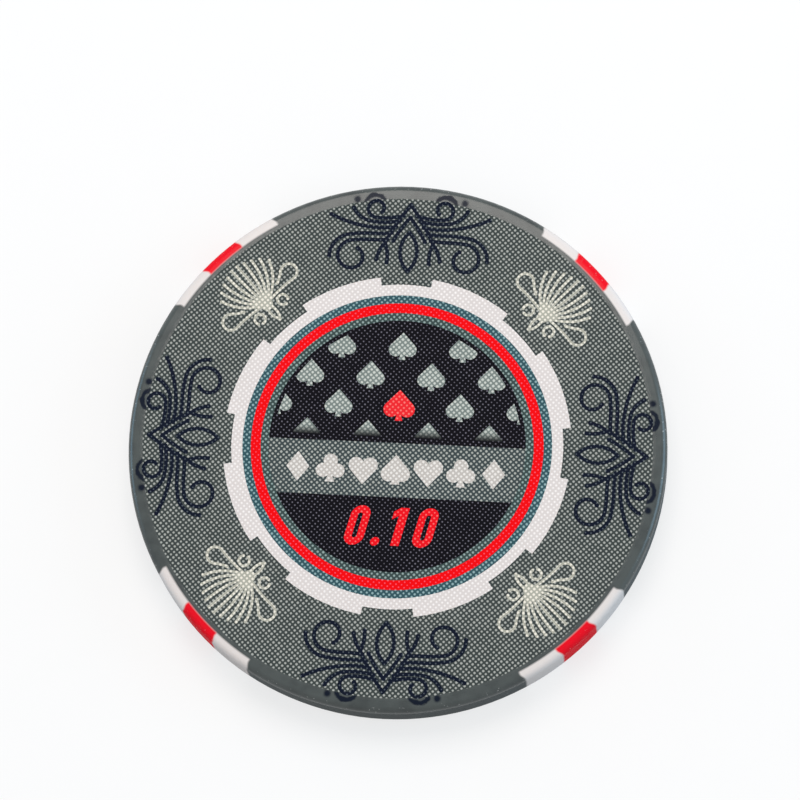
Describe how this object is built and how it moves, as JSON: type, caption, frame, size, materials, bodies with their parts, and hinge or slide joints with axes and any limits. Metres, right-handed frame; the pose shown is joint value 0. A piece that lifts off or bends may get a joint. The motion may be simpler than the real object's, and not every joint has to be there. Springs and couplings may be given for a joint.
{
  "type": "poker chip",
  "caption": "Flat round gaming chip with a woven printed face on each side, edge spots wrapped over the rounded rim, and ring and scroll ornaments round a centre medallion.",
  "frame": {"origin": "centre of the chip's lower face, on the surface that the chip lies on", "axes": "+Z is the chip's axis, from the lower face to the pictured face; +Y is the top of that face's print; +X is to its right"},
  "size_m": [0.039, 0.039, 0.0033],
  "materials": {
    "core_white": "matte",
    "bare_white": "matte",
    "edge_grey": "satin",
    "edge_white": "satin",
    "edge_red": "satin",
    "field_grey": "matte",
    "stripe_teal": "matte",
    "ring_red": "matte",
    "panel_black": "matte",
    "band_grey": "matte",
    "pip_grey": "matte",
    "scroll_navy": "matte",
    "fan_cream": "matte"
  },
  "bodies": {
    "root": {"core_blank": "core_white", "edge_band_1": "edge_grey", "edge_band_2": "edge_grey", "edge_band_3": "edge_grey", "edge_band_4": "edge_grey", "edge_red_spot_1": "edge_red", "edge_red_spot_2": "edge_red", "edge_red_spot_3": "edge_red", "edge_red_spot_4": "edge_red", "edge_white_spot_1": "edge_white", "edge_white_spot_2": "edge_white", "edge_white_spot_3": "edge_white", "edge_white_spot_4": "edge_white", "edge_white_spot_5": "edge_white", "edge_white_spot_6": "edge_white", "edge_white_spot_7": "edge_white", "edge_white_spot_8": "edge_white", "front_woven_field": "field_grey", "front_cog_ring": "bare_white", "front_outer_pinstripe": "stripe_teal", "front_colour_ring": "ring_red", "front_inner_pinstripe": "stripe_teal", "front_upper_panel": "panel_black", "front_centre_band": "band_grey", "front_lower_panel": "panel_black", "front_small_pips": "pip_grey", "front_colour_pip": "ring_red", "front_scrolls": "scroll_navy", "front_fans": "fan_cream", "back_woven_field": "field_grey", "back_cog_ring": "bare_white", "back_outer_pinstripe": "stripe_teal", "back_colour_ring": "ring_red", "back_inner_pinstripe": "stripe_teal", "back_upper_panel": "panel_black", "back_centre_band": "band_grey", "back_lower_panel": "panel_black", "back_small_pips": "pip_grey", "back_colour_pip": "ring_red", "back_scrolls": "scroll_navy", "back_fans": "fan_cream"}
  },
  "joints": []
}
